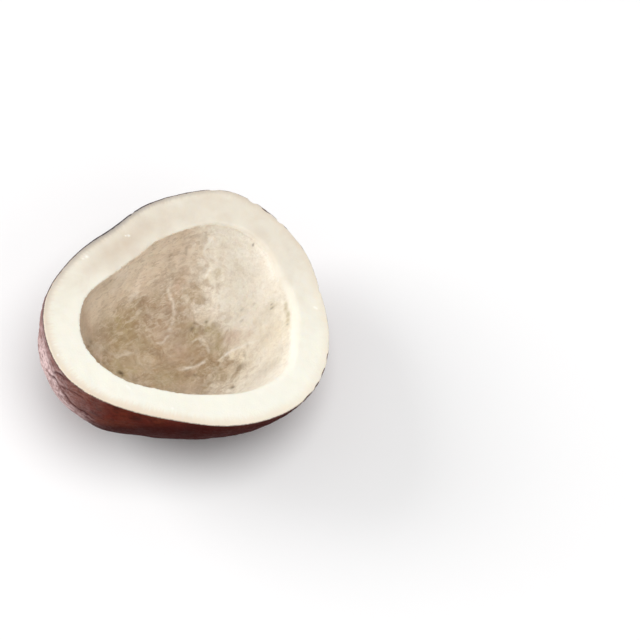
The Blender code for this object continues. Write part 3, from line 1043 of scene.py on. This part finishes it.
# Ranges of other levels, in the same way
RANGES = {
    "dust": (0.8, 1.18, 0.35, 1.15), "rub": (0.2, 0.8, 0, 0.45), "crackle": (0, 0.09),
    "wild": (0, 1, 1, 0.35), "cream_and_light": (0, 0.85), "stains on thin": (0, 1, 1, 0.5),
    "strands on thin": (0, 1, 1, 0.9), "lining": (0.1, 0.9), "mellow": (0, 1), "fringe": (0, 1, 1, 0),
    "greyed": (0.1, 1), "rind": (0.2, 2.3, 0.62, 0), "cut skin": (-0.12, 0.1),
}
# Winding threads: their noise, that of their patches with its range, and how much smaller the patches are
THREAD_NOISE = (3, 0.5, 1.6)
THREAD_PATCH_NOISE = (3, 0.5)
THREAD_PATCH_RANGE = (0.42, 0.62)
THREAD_PATCH_SCALE = 1.7
# Scale, width and strength of the threads on each surface
SKIN_THREADS = (0.16, 0.022, 0.3)
HOLLOW_THREADS = (0.15, 0.014, 0.25)
# How far patterns are stretched: on the skin and in the fringe round the clock and inwards, and along and
# across the hollow's strands, with the way that those run
SKIN_STRETCH = (3.2, 3.2, 1)
FRINGE_STRETCH = (0.7, 0.7, 3.6)
STRAND_STRETCH = (2.9, 1, 1.4)
STRAND_TURN = 36
# How strongly some marks show, and how high the finest relief stands in each bump
BLOTCH_SHARE = 0.85
GROOVE_SHADE_SHARE = 0.9
FIBRE_SHARE = 0.15
CRACKLE_SCALE = 0.45
CRACKLE_RISE = 0.22
PITS_RISE = 0.5
STREAKS_RISE = 0.5
GRAIN_RISE = 0.35
# Strength and depth of each bump, and how the skin and the flesh take the light
SKIN_BUMP = (0.8, 0.6)
FLESH_BUMP = (0.4, 0.5)
SKIN_SPECULAR = 0.01
SUBSURFACE_WEIGHT = 0.3
SUBSURFACE_RADIUS = (1, 0.8, 0.55)
SUBSURFACE_SCALE = 1.8
# How far in from the skin the fringe reaches, and how much its strands take off that
FRINGE_REACH = 6.2
FRINGE_STRANDS = 5

# Soft-edged patches in the hollow, laid over each other: size, seed, where the noise starts and ends the
# patch, how strong it is where the hollow is tan and where it is pale, and its colour
HOLLOW_LAYERS = (
    (13, 1.3, 0.48, 0.62, 0.26, 0.06, HOLLOW_ROSY),
    (10, 2.7, 0.5, 0.62, 0.22, 0.07, HOLLOW_OLIVE),
    (8, 3.1, 0.5, 0.6, 0.14, 0.1, HOLLOW_LILAC),
    (6, 4.9, 0.52, 0.6, 0.28, 0.05, HOLLOW_DARK),
    (5, 5.2, 0.53, 0.6, 0.22, 0.12, HOLLOW_FIBRE),
    (3.6, 6.6, 0.54, 0.6, 0.2, 0.06, HOLLOW_ROSY),
    (2.6, 7.4, 0.55, 0.61, 0.24, 0.05, HOLLOW_DARK),
    (2.2, 8.8, 0.55, 0.61, 0.14, 0.18, HOLLOW_GLINT),
    (1.3, 9.5, 0.56, 0.62, 0.2, 0.04, HOLLOW_DARK),
)
HOLLOW_STAINS = (
    ("olive", HOLLOW_OLIVE), ("rosy", HOLLOW_ROSY), ("brown", HOLLOW_BROWN), ("grey", HOLLOW_GREY),
)
# Strands of the same kind: size, seed, where they start and end, strength and colour
HOLLOW_STRANDS = (
    (1.3, 11.2, 0.52, 0.6, 0.34, HOLLOW_GLINT),
    (1.1, 12.6, 0.53, 0.6, 0.36, HOLLOW_BROWN),
    (0.8, 13.9, 0.54, 0.61, 0.2, HOLLOW_BROWN),
)
# Detail, roughness and distortion of those patches and of the strands
LAYER_NOISE = (4, 0.55, 1.3)
STRAND_NOISE = (4, 0.55, 0.8)


def skin_colour(paint, own, along):
    mark, pattern = paint.mark, paint.pattern
    dust = paint.plus(pattern(along, "dust streaks"), pattern(own, "dust flecks"))
    return paint.layered(
        paint.mix(pattern(own, "skin drift"), SKIN_BROWN, SKIN_RUSSET),
        (SKIN_DARK, pattern(own, "skin blotch")),
        # Painted shade at the foot of the skin
        (SKIN_FOOT_SHADE, mark("low")),
        (SKIN_RUBBED, paint.threads(own, *SKIN_THREADS), paint.minus(1, mark("calm"))),
        (SKIN_DARK, pattern(own, "skin grain")),
        # Painted sheen, partly dust, on the left and front skin
        (SKIN_DUST_AND_SHEEN, mark("bloom"), paint.ranged(dust, "dust")),
        (SKIN_RUBBED, paint.ranged(paint.times(mark("rub"), pattern(own, "rub")), "rub")),
        (SKIN_DARK, mark("blotch"), BLOTCH_SHARE),
        # Painted shade in the creases and cracks
        (SKIN_CREASE_SHADE, mark("groove"), GROOVE_SHADE_SHARE),
    )


def skin_material():
    paint = Paint("coconut_skin")
    own = paint.place("own_place")
    along = paint.place("ring_place", SKIN_STRETCH)
    crackle = paint.ranged(paint.cells(own, CRACKLE_SCALE), "crackle")
    pits = paint.times(paint.pattern(own, "skin pits"), PITS_RISE)
    height = paint.plus(pits, paint.times(crackle, CRACKLE_RISE))
    height = paint.times(height, paint.ranged(paint.mark("calm"), "wild"))
    height = paint.plus(height, paint.times(paint.pattern(along, "skin streaks"), STREAKS_RISE))
    paint.shader.inputs["Specular IOR Level"].default_value = SKIN_SPECULAR
    colour = skin_colour(paint, own, along)
    return paint.finish(colour, paint.pattern(own, "skin gloss"), paint.bump(height, *SKIN_BUMP))


def hollow_colour(paint, own, slanted):
    mark, pattern = paint.mark, paint.pattern
    pale, thin = mark("pale"), mark("thin")
    tan = paint.minus(1, pale)
    colour = paint.mix(pattern(own, "hollow swirl"), HOLLOW_DARK, HOLLOW_TAN)
    # Painted shade darkens the tan deeper down the hollow
    colour = paint.mix(mark("deep"), colour, HOLLOW_DEEP_SHADE, "MULTIPLY")
    # Cream on the right of the hollow, partly painted light
    cream_and_light = paint.ranged(paint.plus(pale, pattern(own, "cream cloud")), "cream_and_light")
    # Painted light in the thin lining; painted light and shade in the cream and the tan
    layers = [(HOLLOW_THIN_AND_LIT, thin), (HOLLOW_CREAM_AND_LIGHT, cream_and_light)]
    for size, seed, start, end, tan_share, pale_share, tint in HOLLOW_LAYERS:
        patch = paint.fit(paint.noise(own, 1 / size, *LAYER_NOISE, seed), start, end)
        layers.append((tint, patch, paint.fit(paint.minus(tan, thin), 0, 1, pale_share, tan_share)))
    colour = paint.mix(mark("warm"), paint.layered(colour, *layers), HOLLOW_WARM, "MULTIPLY")
    gaps = paint.times(pattern(own, "stain gaps"), paint.ranged(thin, "stains on thin"))
    layers = [(tint, mark(name), gaps) for name, tint in HOLLOW_STAINS]
    showing = paint.times(mark("strands"), paint.ranged(thin, "strands on thin"))
    for size, seed, start, end, share, tint in HOLLOW_STRANDS:
        strand = paint.fit(paint.noise(slanted, 1 / size, *STRAND_NOISE, seed), start, end, 0, share)
        layers.append((tint, strand, showing))
    return paint.layered(
        colour,
        *layers,
        (HOLLOW_FIBRE, paint.threads(own, *HOLLOW_THREADS)),
        (HOLLOW_LINE, pattern(own, "hollow flecks"), tan),
        (HOLLOW_FIBRE, mark("fibre"), FIBRE_SHARE),
        (VEIN_COLOUR, mark("vein"), pattern(own, "vein gaps")),
        (SPOT_COLOUR, mark("spot")),
    )


def face_colour(paint, own):
    inward, greyed = paint.mark("inward"), paint.mark("greyed")
    mellow = paint.plus(paint.mark("mellow"), paint.pattern(own, "cut cloud"))
    strands = paint.pattern(paint.place("ring_place", FRINGE_STRETCH), "fringe")
    reach = paint.minus(FRINGE_REACH, paint.times(strands, FRINGE_STRANDS))
    fringe = paint.ranged(paint.math("DIVIDE", inward, reach), "fringe")
    return paint.layered(
        # Painted shade, partly the flesh's own tone, greys the upper side of the cut
        paint.mix(paint.ranged(mellow, "mellow"), FACE_LIGHT, FACE_MELLOW_AND_SHADE),
        (FACE_FRINGE, fringe, paint.mark("fringe")),
        (FACE_GREYED, paint.ranged(fringe, "greyed"), greyed),
        (FACE_RIND, paint.ranged(inward, "rind"), greyed),
        # Painted glints on the specks
        (FACE_SPECK_GLINT, paint.mark("speck")),
    )


def flesh_material():
    paint = Paint("coconut_flesh")
    own = paint.place("own_place")
    slanted = paint.place("own_place", STRAND_STRETCH, STRAND_TURN)
    lining = paint.ranged(paint.plus(paint.mark("lining"), paint.pattern(own, "lining wobble")), "lining")
    flesh = paint.mix(lining, face_colour(paint, own), hollow_colour(paint, own, slanted))
    bare = paint.minus(SKIN_LINE, paint.plus(paint.mark("inward"), paint.mark("bare")))
    bare = paint.ranged(paint.plus(bare, paint.pattern(own, "skin line wobble")), "cut skin")
    colour = paint.mix(bare, flesh, paint.mix(paint.mark("greyed"), SKIN_CUT, SKIN_CUT_GREY))
    streaks = paint.times(paint.pattern(slanted, "hollow streaks"), STREAKS_RISE)
    strands = paint.times(paint.plus(paint.pattern(own, "hollow strands"), streaks), lining)
    height = paint.plus(strands, paint.times(paint.pattern(own, "flesh grain"), GRAIN_RISE))
    inputs = paint.shader.inputs
    inputs["Subsurface Weight"].default_value = SUBSURFACE_WEIGHT
    inputs["Subsurface Radius"].default_value = SUBSURFACE_RADIUS
    inputs["Subsurface Scale"].default_value = SUBSURFACE_SCALE * MM
    return paint.finish(colour, paint.pattern(own, "flesh gloss"), paint.bump(height, *FLESH_BUMP))


# The stage: a plain floor, soft lamps and the camera, in metres
FLOOR_SIZE = 6
FLOOR_COLOUR = (0.92, 0.92, 0.93)
FLOOR_ROUGHNESS = 0.8
SKY = (1, 1, 1)
SKY_STRENGTH = 0.27
# Each lamp: name, place, size, power in watts, colour
LAMPS = (
    ("overhead", (0.45, -0.26, 1.93), 1.4, 25.5, (1, 0.995, 0.98)),
    ("front", (1.1, -1.1, 1), 1.2, 4, (1, 0.995, 0.98)),
    ("window_left", (-1.6, 0.75, 0.94), 1.2, 17, (1, 0.99, 0.98)),
    ("window_low", (-1.89, 0.33, 0.55), 0.9, 9, (1, 0.99, 0.99)),
)
CAMERA_PLACE = (0.041904, -0.265482, 0.522947)
CAMERA_TILT = 28
CAMERA_LENS = 100
SENSOR_WIDTH = 36


def add(item):
    bpy.context.scene.collection.objects.link(item)
    return item


def make_floor():
    half = FLOOR_SIZE / 2
    mesh = bpy.data.meshes.new("floor")
    corners = [(-half, -half, 0), (half, -half, 0), (half, half, 0), (-half, half, 0)]
    mesh.from_pydata(corners, [], [(0, 1, 2, 3)])
    material = bpy.data.materials.new("floor")
    material.use_nodes = True
    shader = material.node_tree.nodes["Principled BSDF"]
    shader.inputs["Base Color"].default_value = (*FLOOR_COLOUR, 1)
    shader.inputs["Roughness"].default_value = FLOOR_ROUGHNESS
    mesh.materials.append(material)
    floor = add(bpy.data.objects.new("floor", mesh))


def make_lamps():
    for name, place, size, power, colour in LAMPS:
        lamp = bpy.data.lights.new(name, "AREA")
        lamp.shape = "DISK"
        lamp.size = size
        lamp.energy = power
        lamp.color = colour
        item = add(bpy.data.objects.new(name, lamp))
        item.location = place
        item.rotation_euler = (-Vector(place)).to_track_quat("-Z", "Y").to_euler()


def make_sky():
    world = bpy.data.worlds.new("studio")
    world.use_nodes = True
    background = world.node_tree.nodes["Background"]
    background.inputs["Color"].default_value = (*SKY, 1)
    background.inputs["Strength"].default_value = SKY_STRENGTH
    bpy.context.scene.world = world


def make_camera():
    lens = bpy.data.cameras.new("camera")
    lens.lens = CAMERA_LENS
    lens.sensor_width = SENSOR_WIDTH
    camera = add(bpy.data.objects.new("camera", lens))
    camera.location = CAMERA_PLACE
    camera.rotation_euler = (math.radians(CAMERA_TILT), 0, 0)
    bpy.context.scene.camera = camera


bpy.context.scene.view_settings.view_transform = "Standard"
half = add(build_half())
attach(half, "root")
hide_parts("dried_coconut_half")
make_floor()
make_lamps()
make_sky()
make_camera()
bpy.context.view_layer.update()
